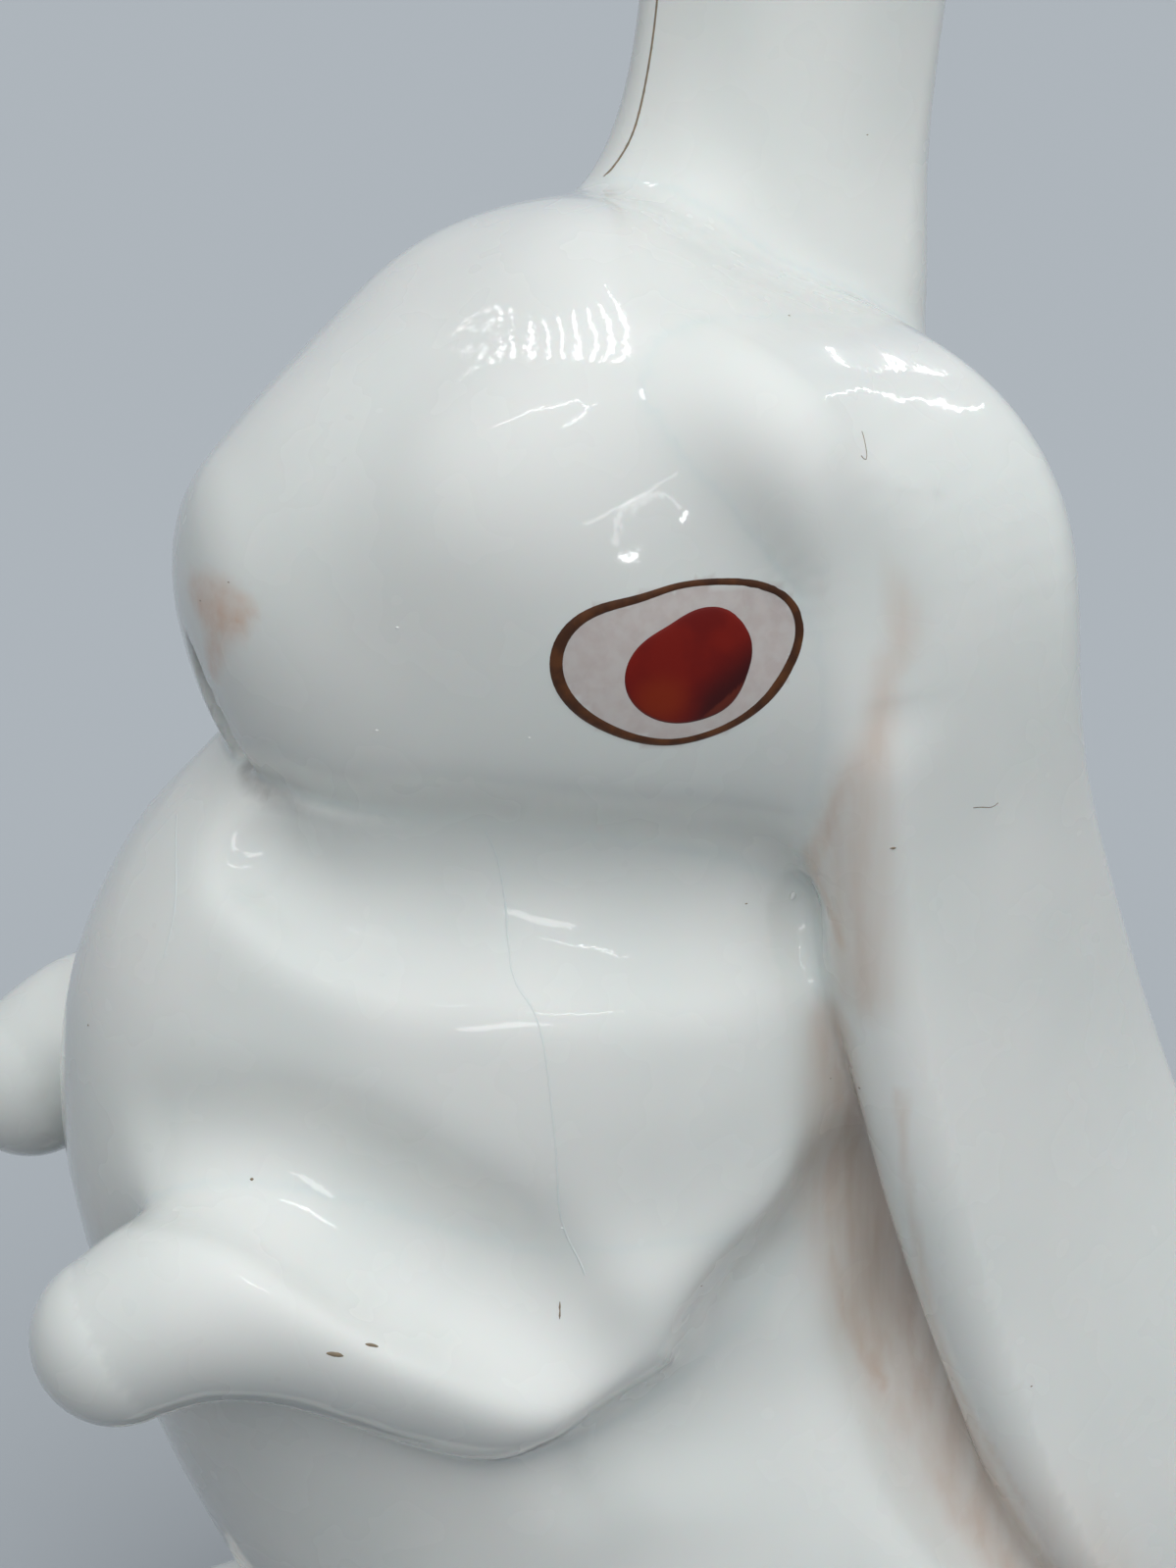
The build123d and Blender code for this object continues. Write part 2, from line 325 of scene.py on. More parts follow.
PRESSED = [  # soft hollows: rows of left, back, up and radius of what presses them in
    [  # the valley above each forearm
        (10, -23.6, 47.4, 2.5), (12.9, -20, 47.7, 3.2), (15.5, -16.3, 46.5, 3.8), (17.5, -12.6, 44.1, 4),
        (18.9, -9.2, 42, 4), (20.4, -6.8, 39.9, 3.8), (21.5, -4.1, 37.4, 3)
    ],
    [  # the crease under each cheek
        (7, -17.3, 59.6, 2.4), (10.1, -15.5, 59.1, 3.4), (12.8, -12.3, 59, 4.2), (14.7, -8.3, 59.1, 4.3),
        (15.9, -4.1, 58.7, 4.3), (16.2, 0.4, 58.2, 4.1), (16, 4.3, 57.6, 3.8), (15.1, 6.5, 57, 3)
    ],
    [  # the valley round each elbow
        (18.8, -5.4, 30.6, 3), (19.4, -2.4, 31.8, 4), (19.5, 1.7, 33.3, 4.6), (19.6, 4.1, 37.3, 4.8),
        (18.4, 6.8, 39.8, 4.4), (16.7, 8.9, 42.4, 3.4)
    ],
    [  # the hollow between the brow and the folded ear
        (17.8, 9.8, 81.6, 3), (19.5, 8.9, 78.9, 3.5), (20, 8.7, 75.6, 3.5), (20.1, 8.9, 72.4, 3.2),
        (20.2, 9.1, 68.3, 2.6)
    ],
]
VENT = [(0, 6.75, -3, 1.8), (0, 6.75, 1.2, 1.8)]

trunk = lofted(TRUNK, along=2, span=1)
haunches = [ball((side * 11, 11, 15.5), (9.3, 15, 17.5)) for side in (1, -1)]
shoulders = [ball((side * 8, -1, 46.5), (8.2, 14, 13)) for side in (1, -1)]
skull = lofted(HEAD, along=1, span=2)
brows = [ball((8.4, -2.8, 75.0), (5.4, 8.6, 6.4)), ball((-4.9, -3.4, 74.4), (6.2, 7.5, 8.95)),
         ball((0, -8.4, 72.4), (9.6, 7.8, 6.6))]
arms = [Limb(LEFT_ARM), Limb(RIGHT_ARM, side=-1)]
feet = [Limb(HIND_FOOT), Limb(HIND_FOOT, side=-1)]
scut = ball((0, 28, 11), (6.5, 6, 6.5))
raised_ear = Ear(RAISED_EAR)
hanging_ear = Ear(HANGING_EAR)
web = Limb(WEB)
trough = Limb(TROUGH)
cleft = Limb(CLEFT)
vent = Limb(VENT)
hollows = [Limb(rows, side) for rows in PRESSED[:3] for side in (1, -1)] + [Limb(PRESSED[3])]


def join(d, path, p, reach):
    """d with a limb or an ear softly joined on, worked out only near it."""
    near = path.near(p)
    if near.any():
        there = p[near]
        d[near] = soft_union(d[near], path(there), reach(there))


def carve(d, path, p, reach):
    near = path.near(p)
    if near.any():
        d[near] = soft_cut(d[near], path(p[near]), reach)


def rabbit(p):
    """Distance from the whole rabbit's glazed surface; a reach is how far a joint is softened."""
    d = trunk(p)
    for haunch in haunches:
        d = soft_union(d, haunch(p), reach=5)
    for shoulder in shoulders:
        d = soft_union(d, shoulder(p), reach=6)
    for arm in arms:  # softer above the forearm than below it
        join(d, arm, p, reach=lambda q: 2 + 4 * ramp(arm.rise(q), -2, 4))
    d = soft_union(d, scut(p), reach=2)
    for foot in feet:
        join(d, foot, p, reach=lambda q: 2)
    head = skull(p)
    for brow in brows:
        head = soft_union(head, brow(p), reach=5)
    carve(head, cleft, p, reach=0.4)
    join(d, web, p, reach=lambda q: 4)
    d = soft_union(d, head, reach=0.6 + 1.9 * ramp(p[:, 1], -14, -2))
    join(d, raised_ear, p, reach=lambda q: 8.5 - 5.9 * ramp(q[:, 1], 6, 14))
    for hollow in (trough, *hollows[:-1]):
        carve(d, hollow, p, reach=3)
    join(d, hanging_ear, p, reach=lambda q: 2.2 + 4.3 * ramp(q[:, 2], 48, 60))
    carve(d, hollows[-1], p, reach=3)
    d = soft_cut(d, p[:, 2], reach=1)
    carve(d, vent, p, reach=0.5)
    return d


PIECES = ["trunk", "head", "raised_ear", "hanging_ear", "left_forepaw", "right_forepaw",
          "left_hind_foot", "right_hind_foot", "tail", "base"]


def owner(p, wall=3, vent_top=6, vent_edge=0.6, foot_height=0.02):
    """Which piece each point of the surface belongs to."""
    table = [np.min([form(p) for form in (trunk, *haunches, *shoulders)], axis=0),
             np.min([form(p) for form in (skull, *brows)], axis=0)]
    table += [path.gap(p) for path in (raised_ear, hanging_ear, *arms, *feet)]
    owners = np.argmin([*table, scut(p)], axis=0)
    _, front, back, half_width = TRUNK[0]
    across = p[:, 0] / (half_width - wall)
    along = (p[:, 1] - (front + back) / 2) / ((back - front) / 2 - wall)
    in_vent = (p[:, 2] < vent_top) & (vent.gap(p) < vent_edge)
    on_plate = (p[:, 2] < foot_height) & (across ** 2 + along ** 2 < 1)
    owners[in_vent | on_plate] = PIECES.index("base")
    return owners


# the surface as a mesh


def in_chunks(form, p, size=200000):
    return np.concatenate([form(p[i:i + size]) for i in range(0, len(p), size)])


def sample_field(low, high):
    """The distance on a fine lattice, worked out only in the blocks that the surface may cross."""
    counts = np.ceil((high - low) / (CELL * BLOCK)).astype(int)
    blocks = np.indices(counts).reshape(3, -1).T
    middles = in_chunks(rabbit, low + (blocks + 0.5) * CELL * BLOCK)
    lattice = np.where(middles < 0, -FAR, FAR).reshape(counts)
    for axis in range(3):
        lattice = np.repeat(lattice, BLOCK, axis)
    crossed = blocks[np.abs(middles) < 1.3 * CELL * BLOCK + 1]
    offsets = np.indices((BLOCK,) * 3).reshape(3, -1).T
    places = (crossed[:, None] * BLOCK + offsets).reshape(-1, 3)
    lattice[tuple(places.T)] = in_chunks(rabbit, low + places * CELL)
    return lattice


def net_surface(lattice, low):
    """Surface nets: a point in each cell that the surface crosses, and a quad round each crossed edge."""
    inside = lattice < 0
    size = np.array(inside.shape) - 1
    corners = sum(inside[tuple(slice(o, o + n) for o, n in zip(offset, size))].astype(np.int8)
                  for offset in np.ndindex(2, 2, 2))
    crossed = (corners > 0) & (corners < 8)
    cells = np.argwhere(crossed)
    number = np.full(crossed.shape, -1)
    number[crossed] = np.arange(len(cells))
    total, hits = np.zeros((len(cells), 3)), np.zeros(len(cells))
    quads = []
    for axis in range(3):
        second, third = (axis + 1) % 3, (axis + 2) % 3
        unit = np.eye(3, dtype=int)
        for b, c in np.ndindex(2, 2):
            offset = b * unit[second] + c * unit[third]
            start, end = cells + offset, cells + offset + unit[axis]
            from_here, to_there = lattice[tuple(start.T)], lattice[tuple(end.T)]
            cut = (from_here < 0) != (to_there < 0)
            share = np.where(cut, from_here / np.where(cut, from_here - to_there, 1), 0)
            total[cut] += (offset + share[:, None] * unit[axis])[cut]
            hits += cut
        here, there = np.moveaxis(inside, axis, 0)[:-1], np.moveaxis(inside, axis, 0)[1:]
        edges = np.argwhere(np.moveaxis(here != there, 0, axis))
        edges = edges[(edges[:, second] > 0) & (edges[:, third] > 0)
                      & np.all(edges < size, axis=1)]
        ring = [-unit[second] - unit[third], -unit[third], 0 * unit[axis], -unit[second]]
        quad = np.stack([number[tuple((edges + shift).T)] for shift in ring], axis=1)
        outward = inside[tuple(edges.T)]
        quads.append(np.where(outward[:, None], quad, quad[:, ::-1]))
    return low + CELL * (cells + total / hits[:, None]), np.concatenate(quads)


def gradient(form, p, step=0.03):
    sides = [in_chunks(form, p + shift) - in_chunks(form, p - shift) for shift in step * np.eye(3)]
    slope = np.stack(sides, axis=1) / (2 * step)
    return slope / np.maximum(np.linalg.norm(slope, axis=1), 1e-6)[:, None]


def settle(points, rounds=1):
    """Moves points onto the surface."""
    for _ in range(rounds):
        points = points - gradient(rabbit, points) * in_chunks(rabbit, points)[:, None]
    return points


def relax(points, quads):
    """Evens out the net by moving each point halfway to its neighbours' middle."""
    total, hits = np.zeros_like(points), np.zeros(len(points))
    for here, there in ((0, 1), (1, 2), (2, 3), (3, 0)):
        for a, b in ((here, there), (there, here)):
            for axis in range(3):
                total[:, axis] += np.bincount(quads[:, a], points[quads[:, b], axis], len(points))
            hits += np.bincount(quads[:, a], minlength=len(points))
    return 0.5 * points + 0.5 * total / hits[:, None]


def boundary_loops(faces, count):
    """The open edges of a set of faces, as closed chains of vertex numbers."""
    starts = faces.ravel()
    ends = np.roll(faces, -1, axis=1).ravel()
    edge, which = np.unique(np.minimum(starts, ends) * count + np.maximum(starts, ends), return_inverse=True)
    balance = np.bincount(which.ravel(), np.where(starts < ends, 1, -1)).astype(int)
    following = {}
    for code, turns in zip(edge[balance != 0].tolist(), balance[balance != 0].tolist()):
        a, b = divmod(code, count) if turns > 0 else divmod(code, count)[::-1]
        following.setdefault(a, []).extend([b] * abs(turns))
    loops = []
    while following:
        first = next(iter(following))
        loop, here = [], first
        while True:
            loop.append(here)
            following[here], ahead = following[here][:-1], following[here][-1]
            if not following[here]:
                del following[here]
            here = ahead
            if here == first:
                break
        loops.append(loop)
    return loops


def zip_across(loop, places):
    """Triangles that close a long loop from side to side, in order of each vertex's place along it."""
    start, end = int(np.argmin(places)), int(np.argmax(places))
    count = len(loop)
    one = [(start + i) % count for i in range((end - start) % count + 1)]
    other = [(start - i) % count for i in range((start - end) % count + 1)]
    i = j = 0
    faces = []
    reach_one = np.maximum.accumulate(places[one])
    reach_other = np.maximum.accumulate(places[other])
    while i < len(one) - 1 or j < len(other) - 1:
        if j == len(other) - 1 or i < len(one) - 1 and reach_one[i + 1] <= reach_other[j + 1]:
            face = (loop[one[i + 1]], loop[one[i]], loop[other[j]])
            i += 1
        else:
            face = (loop[other[j]], loop[other[j + 1]], loop[one[i]])
            j += 1
        if len(set(face)) == 3:
            faces.append(face)
    return faces


def close_piece(points, normals, faces, centre, path, sunk=0.8, inward=0.6):
    """Closes each open loop inside the rabbit: a low wall inward, and then faces across a limb or an ear,
    or to a point in a body."""
    rows, caps = [points], []
    count = len(points)
    for loop in boundary_loops(faces, len(points)):
        sunk_loop = list(range(count, count + len(loop)))
        rows.append(points[loop] - sunk * normals[loop])
        count += len(loop)
        sunk_following = sunk_loop[1:] + sunk_loop[:1]
        for a, b, under_a, under_b in zip(loop, loop[1:] + loop[:1], sunk_loop, sunk_following):
            caps += [(b, a, under_a), (b, under_a, under_b)]
        if path is None:
            middle = rows[-1].mean(0)
            rows.append((middle + inward * (np.array(centre, float) - middle))[None])
            caps += [(b, a, count) for a, b in zip(sunk_loop, sunk_following)]
            count += 1
        else:
            before, share = path.foot(points[loop])
            caps += zip_across(sunk_loop, before + share[:, 0])
    return np.vstack(rows), np.array(caps, int).reshape(-1, 3)


def make_mesh(name, points, quads, triangles=(), normals=None):
    """A mesh in millimetres: its quads are smooth, with these normals, and its triangles flat."""
    mesh = bpy.data.meshes.new(name)
    faces = [tuple(face) for table in (quads, triangles) for face in np.asarray(table).tolist()]
    mesh.from_pydata((np.asarray(points) * MM).tolist(), [], faces)
    smooth = np.zeros(len(faces), bool)
    smooth[:len(quads)] = True
    mesh.polygons.foreach_set("use_smooth", smooth)
    if normals is not None:
        corner_normals = np.zeros((len(mesh.loops), 3))
        corner_normals[:np.asarray(quads).size] = normals[np.asarray(quads).ravel()]
        mesh.normals_split_custom_set(corner_normals.tolist())
    mesh.update()
    return place_object(name, mesh)


def set_attribute(piece, name, values):
    attribute = piece.data.attributes.new(name, "FLOAT", "POINT")
    attribute.data.foreach_set("value", np.asarray(values, np.float32))


# painted places, as coverage from 0 to 1


def stroke(p, rows):
    """A soft brush stroke: rows of left, back, up and half width."""
    path = Limb(rows)
    cover = np.zeros(len(p))
    near = path.near(p)
    if near.any():
        there = p[near]
        before, share = path.foot(there)
        off = np.linalg.norm(there - blend_rows(path.line, before, share), axis=1)
        cover[near] = 1 - ramp(off / blend_rows(path.tables[0], before, share)[:, 0], 0.1, 1.4)
    return cover


PAINTED = {  # strokes of each tint: strength, and rows of left, back, up and half width
    "blush": [
        (0.58, [(17, 8.2, 77, .5), (17.3, 8.9, 74.4, .9), (17.4, 9.4, 72.4, 1.1), (17.5, 9.4, 70.6, 1),
               (17.6, 8.9, 69, .6)]),
        (0.36, [(17.6, 8.6, 70, 1), (17.6, 8.4, 67.7, 1.1), (17.4, 7.7, 65.4, 1.3), (16.8, 7.4, 62, 1.9),
               (16.6, 7.4, 58, 2.2), (16.8, 8, 54.5, 2)]),
        (0.55, [(17.2, 7.2, 65.5, .5), (16.7, 6.7, 63.6, .6), (15.7, 6.4, 61.1, .75),
                (14.7, 6.4, 58.9, .9), (15.6, 7, 57.4, .8), (16.2, 7.4, 56, .6)]),
        (0.5, [(14.4, 6.1, 59.6, .3), (14.3, 6.2, 58.8, .45), (14.6, 6.4, 58, .35)]),
        (0.45, [(14.6, 7.8, 51.5, 1.8), (13.8, 8.2, 48.1, 2.6), (13.6, 8.6, 45.3, 3), (13.4, 9.4, 41.9, 3.2),
                (13.5, 10.2, 37.9, 3.3), (14.2, 11.6, 33.6, 3.4), (15.6, 14, 29.6, 3.6),
                (17, 16.6, 25, 3.8), (17.6, 19.9, 19.5, 3.6), (17.2, 23.7, 13, 3),
                (16.5, 25.5, 8.5, 1.8)]),
        (0.5, [(13.7, 8, 39, .5), (13.7, 8.5, 36.6, .8), (13.9, 9.2, 34.4, .8), (14.6, 10.4, 31.8, .5)]),
        (0.5, [(16.4, 13, 27.2, .8), (17.2, 14.8, 24.4, 1.6), (17.9, 17.6, 20.6, 1.6),
               (17.9, 20.6, 16.5, 1)]),
        (0.4, [(18.2, 9.4, 49.3, .3), (18.2, 10, 45, .35), (18.1, 10.7, 41.3, .4), (17.9, 11.6, 37.6, .4),
               (17.9, 12.8, 33.9, .4), (18.7, 14.3, 30.3, .35), (19.2, 16.2, 26.6, .3)]),
    ],
    "nose": [
        (0.45, [(2.6, -18.9, 70.9, .9), (4.6, -18.2, 71.2, 1.1), (6, -17.1, 71, .7)]),
        (0.6, [(3.4, -18.7, 70.6, 1.1), (5, -18, 70.3, 1.3), (5.6, -17.6, 70.4, .9)]),
        (0.45, [(4.3, -18.3, 70.2, 1.3), (4.2, -18.5, 68.6, .9), (3.8, -18.6, 67.4, .5)]),
    ],
    # painted shade: dark brown laid in the trough under the hanging ear's rim, partly the ear's brown paint
    # and partly the shade that falls there
    "shade": [
        (0.55, [(14.9, 9.3, 50.5, .5), (14.5, 9.6, 47, .7), (14.2, 10.3, 43, .9), (14, 11.4, 39, 1.1),
                (14.6, 12.4, 35, 1.2), (16.2, 14, 31, 1.1), (17.6, 15.8, 27, 1), (18.4, 18.4, 22.5, .9),
                (18.4, 22, 17, .8)]),
        (0.3, [(14.4, 8.9, 49.5, .7), (14, 9.5, 45, 1.3), (13.7, 10.4, 40.5, 1.7), (14.2, 11.6, 35.8, 1.8),
               (15.9, 13.6, 30.8, 1.6), (17.2, 15.8, 26.4, 1.4), (18, 19, 21, 1.2)]),
    ],
    # painted shade: dark brown-grey in the split of the lip and along the crease under the cheek, darkening
    # these creases
    "crease_shade": [
        (0.85, [(1.2, -19.2, 68, .5), (1.8, -18.7, 66.6, .85), (2.2, -18, 65, .95),
                (2.4, -17.1, 63.2, .75), (2.5, -16.8, 62.3, .5)]),
        (0.4, [(2.2, -17, 61.9, .5), (3.3, -16.8, 61.6, .6), (5.2, -16, 61.4, .6), (6.7, -15.3, 61.1, .6),
               (8, -14.1, 61, .6), (9.2, -12.6, 61, .6)]),
        (0.2, [(8, -14.1, 61, .8), (10.1, -11.2, 61.1, .9), (11.3, -9, 61.1, .9),
               (12.4, -6, 60.8, .8)]),
    ],
}


def paint(p):
    """The coverage of each tint at the points, the same on both cheeks for the nose."""
    tints = {name: np.max([strength * stroke(p, rows) for strength, rows in strokes], axis=0)
             for name, strokes in PAINTED.items()}
    mirrored = p * (-1, 1, 1)
    far_side = [strength * stroke(mirrored, rows) for strength, rows in PAINTED["nose"]]
    tints["nose"] = np.maximum(tints["nose"], np.max(far_side, axis=0))
    return tints


class Eye:
    """The painted eye's shapes, as radii about the iris's middle in the plane seen from the side."""

    middle = (0.3, 70.2)  # back, up
    outline = [(-174, 5.75), (-145, 4.68), (-106, 3.75), (-83, 3.44), (-56, 3.37), (-26, 3.61),
               (0, 4.13), (22, 4.79), (37, 4.88), (50, 4.52), (69, 3.96), (104, 3.73), (134, 4.3),
               (154, 5.42)]
    iris = [(-160, 3.11), (-134, 3.02), (-105, 2.78), (-82, 2.6), (-56, 2.52), (-13, 2.36),
            (20, 2.64), (45, 2.81), (61, 2.84), (85, 2.61), (121, 2.27), (158, 2.69)]
    line = [(-175, .31), (-150, .27), (-110, .2), (-60, .19), (-20, .21), (20, .2), (45, .19),
            (90, .16), (135, .22)]


def round_table(rows):
    """A smooth closed curve through rows of degrees and value."""
    degrees, value = np.array(rows, float).T
    around = np.r_[degrees - 360, degrees, degrees + 360]
    curve = spline(around, np.tile(value, 3)[:, None])
    return lambda angle: curve((np.degrees(angle) + 180) % 360 - 180)[0][..., 0]


def side_name(side, name):
    return ("left_" if side > 0 else "right_") + name


def press_on(y, z, side, raised, outside=22.0, rounds=30, stride=0.8):
    """Points on the rabbit's left (1) or right (-1) cheek at these places, raised off the glaze."""
    p = np.stack([np.full(np.shape(y), side * outside), y, z], axis=-1).reshape(-1, 3)
    for _ in range(rounds):
        p[:, 0] -= side * stride * rabbit(p)
    return p + gradient(rabbit, p) * np.ravel(raised)[:, None]


def make_iris(side, rings=26, spokes=112, height=0.09, sunk=0.2):
    """The domed red iris, with the depth of the enamel as attributes: amber, deep and thin."""
    angle = np.linspace(0, 2 * np.pi, spokes, endpoint=False)
    reach = round_table(Eye.iris)(angle)
    share = np.linspace(0, 1, rings + 1)[1:]
    back = np.r_[0, np.outer(share, reach * np.cos(angle)).ravel()]
    up = np.r_[0, np.outer(share, reach * np.sin(angle)).ravel()]
    y, z = Eye.middle[0] + back, Eye.middle[1] + up
    dome = np.r_[height, np.repeat(height * np.sqrt(np.maximum(1 - share ** 4, 0)), spokes)]
    top = press_on(y, z, side, dome)
    under = press_on(y, z, side, -sunk)
    count = len(top)
    ring = 1 + np.arange(rings * spokes).reshape(rings, spokes)
    following = np.roll(ring, -1, axis=1)
    quads = np.stack([ring[:-1], following[:-1], following[1:], ring[1:]], axis=-1).reshape(-1, 4)
    fan = np.stack([np.zeros(spokes, int), following[0], ring[0]], axis=-1)
    rim = np.stack([ring[-1], following[-1], following[-1] + count, ring[-1] + count], axis=-1)
    if side > 0:
        quads, fan, rim = quads[:, ::-1], fan[:, ::-1], rim[:, ::-1]
    quads = np.concatenate([quads, quads[:, ::-1] + count, rim])
    piece = make_mesh(side_name(side, "iris"), np.vstack([top, under]), quads,
                      np.concatenate([fan, fan[:, ::-1] + count]))
    low_back = 0.66 * back - 0.75 * up
    amber_back, amber_up = -1.45, -1.5
    tints = {"amber": 1 - ramp(np.hypot(back - amber_back, up - amber_up), 0.3, 1.7),
             "deep": ramp(low_back, 0.2, 1.9) * ramp(back, -1.2, 0.9),
             "thin": ramp(low_back, 2.02, 2.1) * ramp(back, 0.2, 0.6)}
    for name, cover in tints.items():
        set_attribute(piece, name, np.r_[cover, cover])
    return piece


def bead_tree():
    """Geometry Nodes: a round bead of enamel along a line, its radius read from the line."""
    tree = bpy.data.node_groups.new("enamel_bead", "GeometryNodeTree")
    for name, way, kind in (("Line", "INPUT", "Geometry"), ("Sides", "INPUT", "Int"),
                            ("Enamel", "INPUT", "Material"), ("Bead", "OUTPUT", "Geometry")):
        tree.interface.new_socket(name, in_out=way, socket_type="NodeSocket" + kind)
    new = tree.nodes.new
    source, result = new("NodeGroupInput"), new("NodeGroupOutput")
    to_curve = new("GeometryNodeMeshToCurve")
    radius = new("GeometryNodeInputNamedAttribute")
    radius.data_type = "FLOAT"
    radius.inputs["Name"].default_value = "radius_m"
    ring = new("GeometryNodeCurvePrimitiveCircle")
    ring.inputs["Radius"].default_value = 1.0
    sweep = new("GeometryNodeCurveToMesh")
    sweep.inputs["Fill Caps"].default_value = True
    realize, finish = new("GeometryNodeRealizeInstances"), new("GeometryNodeSetMaterial")
    for giver, given, taker, taken in (
            (source, "Line", to_curve, "Mesh"), (radius, "Attribute", sweep, "Scale"),
            (source, "Sides", ring, "Resolution"), (to_curve, "Curve", sweep, "Curve"),
            (ring, "Curve", sweep, "Profile Curve"), (sweep, "Mesh", realize, "Geometry"),
            (realize, "Geometry", finish, "Geometry"), (source, "Enamel", finish, "Material"),
            (finish, "Geometry", result, "Bead")):
        tree.links.new(giver.outputs[given], taker.inputs[taken])
    return tree


BEAD = bead_tree()


def make_beads(name, lines, closed, material, sides=10):
    """Beads along lines of points and radii, in millimetres, as one plain mesh."""
    mesh = bpy.data.meshes.new(name + "_lines")
    edges, start = [], 0
    for points, _ in lines:
        count = len(points)
        edges += [(start + i, start + (i + 1) % count) for i in range(count if closed else count - 1)]
        start += count
    mesh.from_pydata((np.vstack([points for points, _ in lines]) * MM).tolist(), edges, [])
    attribute = mesh.attributes.new("radius_m", "FLOAT", "POINT")
    attribute.data.foreach_set("value", np.concatenate([radii for _, radii in lines]).astype(np.float32) * MM)
    guide = place_object(name + "_lines", mesh)
    modifier = guide.modifiers.new("bead", "NODES")
    modifier.node_group = BEAD
    sockets = {item.name: item.identifier for item in BEAD.interface.items_tree}
    modifier[sockets["Sides"]] = sides
    modifier[sockets["Enamel"]] = material
    depsgraph = bpy.context.evaluated_depsgraph_get()
    made = bpy.data.meshes.new_from_object(guide.evaluated_get(depsgraph))
    bpy.data.objects.remove(guide)
    made.polygons.foreach_set("use_smooth", np.ones(len(made.polygons), bool))
    return place_object(name, made)


def make_eye_line(side, material, sunk=0.8):
    """The brown outline: a bead sunk in the glaze, so that only its crown shows, as wide as the line."""
    angle = np.linspace(0, 2 * np.pi, 120, endpoint=False)
    reach = round_table(Eye.outline)(angle)
    radius = round_table(Eye.line)(angle) / math.sqrt(1 - sunk ** 2)
    points = press_on(Eye.middle[0] + reach * np.cos(angle), Eye.middle[1] + reach * np.sin(angle), side,
                      -sunk * radius)
    return make_beads(side_name(side, "eye_line"), [(points, radius)], True, material)


def flaw(rows, width, sunk=0.8, steps=9):
    """A line on the glaze that shows this wide: points near it, spaced along a smooth line."""
    rows = np.array(rows, float)
    points = settle(Path(rows, steps=steps).line if len(rows) > 1 else
                    rows + np.outer(np.linspace(-0.5, 0.5, steps), (0, 0, width)), 3)
    taper = np.sqrt(1 - np.linspace(-0.97, 0.97, steps) ** 2) if len(rows) < 4 else np.ones(steps)
    radius = 0.5 * width / math.sqrt(1 - sunk ** 2) * taper
    return points - gradient(rabbit, points) * (sunk * radius)[:, None], radius


MOULD_SEAMS = [  # the fine ridges that the mould's joints leave on the chest
    [(11.8, -8.3, 60.7), (12.9, -7.7, 58.3), (14.1, -7.2, 55.8), (14.8, -6.7, 54.2), (15.7, -6.3, 50.7),
     (16.3, -6.1, 46.5), (17.3, -6.3, 43), (18.5, -6.5, 41.2)],
    [(0.8, -19.9, 59.3), (3.3, -20.5, 58), (4.9, -20.9, 56.3), (5.6, -21.6, 54.4)],
]
DARK_SPECKS = [  # width, then the places that it runs through
    (0.32, [(17.5, 8.9, 61.4)]), (0.16, [(7.7, 7.8, 84.6)]), (0.14, [(-5, 15, 87.1)]),
    (0.2, [(12.4, 3.9, 56.9)]), (0.16, [(14.1, 7.3, 48.5)]), (0.22, [(16.3, 8.3, 48.9)]),
    (0.2, [(19.3, 16, 33.5)]), (0.18, [(17.6, 1.1, 39.8)]), (0.26, [(10.7, -18.9, 45.3)]),
    (0.2, [(2.5, -24.7, 49.9)]), (0.16, [(4.9, -17.8, 72)]), (0.18, [(3.2, -18.7, 70.6)]),
    (0.14, [(16.3, -6, 40), (16.6, -6.1, 39.1)]), (0.2, [(18.8, -17.4, 40.5), (18.8, -16.6, 40.3)]),
    (0.1, [(18.8, -15.4, 40.9), (18.8, -14.6, 41)]),
    (0.05, [(15.1, 8.3, 80.2), (15.5, 8.3, 79.6), (15.8, 8.1, 79), (15.6, 7.8, 79.1)]),
    (0.05, [(16.8, 13, 62.4), (16.6, 13.5, 62.3), (16.4, 14.1, 62.2), (16.3, 14.3, 62.3)]),
]
WHITE_SPECKS = [(0.2, [(11, -11.6, 71.6)]), (0.2, [(10.5, -12.6, 66.6)]), (0.14, [(13.8, -6.6, 66.9)]),
                (0.16, [(17, -6.3, 43.6)]), (0.2, [(13.4, 5.6, 56.9)])]


def rim_groove_shade(width=0.13, samples=slice(14, -3), out=0.64, up=0.77):
    """The dark line just behind the raised ear's front rim, from the head up to the tip: painted shade that
    stands for the narrow groove's shadow there.
    """
    half, channel, thick, _ = raised_ear.shape.T[:, samples, None]
    across, face = raised_ear.across[samples], raised_ear.face[samples]
    places = raised_ear.line[samples] - across * half + face * channel - thick * (out * across + up * face)
    beside_root = [(-8.2, 3.1, 85.2), (-8.7, 4.6, 86.8), (-9.1, 5.2, 88.3)]
    return flaw(np.vstack([beside_root, places[::4]]), width, steps=110)


def make_flaws(glaze):
    """The small marks of the making: mould seams, kiln specks and burst bubbles in the glaze, and a painted
    shade line in the groove behind the raised ear's rim.
    """
    # one dark finish for the kiln specks and for the painted shade line behind the raised ear's rim
    dark = Finish("speck_and_shade_line", Roughness=0.5)
    dark.paint(dark.mix(dark.noise(3000), (118, 110, 98), (148, 128, 100)))
    white = Finish("burst_bubble", Roughness=0.2)
    white.paint(white.mix(white.noise(3000), (246, 247, 245), (238, 240, 238)))
    for name, lines, material in (
            ("mould_seams", [flaw(rows, width=0.1, steps=60) for rows in MOULD_SEAMS], glaze),
            ("rim_groove_shade", [rim_groove_shade()], dark.material),
            ("kiln_specks", [flaw(rows, width) for width, rows in DARK_SPECKS], dark.material),
            ("burst_bubbles", [flaw(rows, width, sunk=0.6) for width, rows in WHITE_SPECKS], white.material)):
        piece = make_beads(name, lines, False, material, sides=8)
        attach(piece, "root")


# finishes


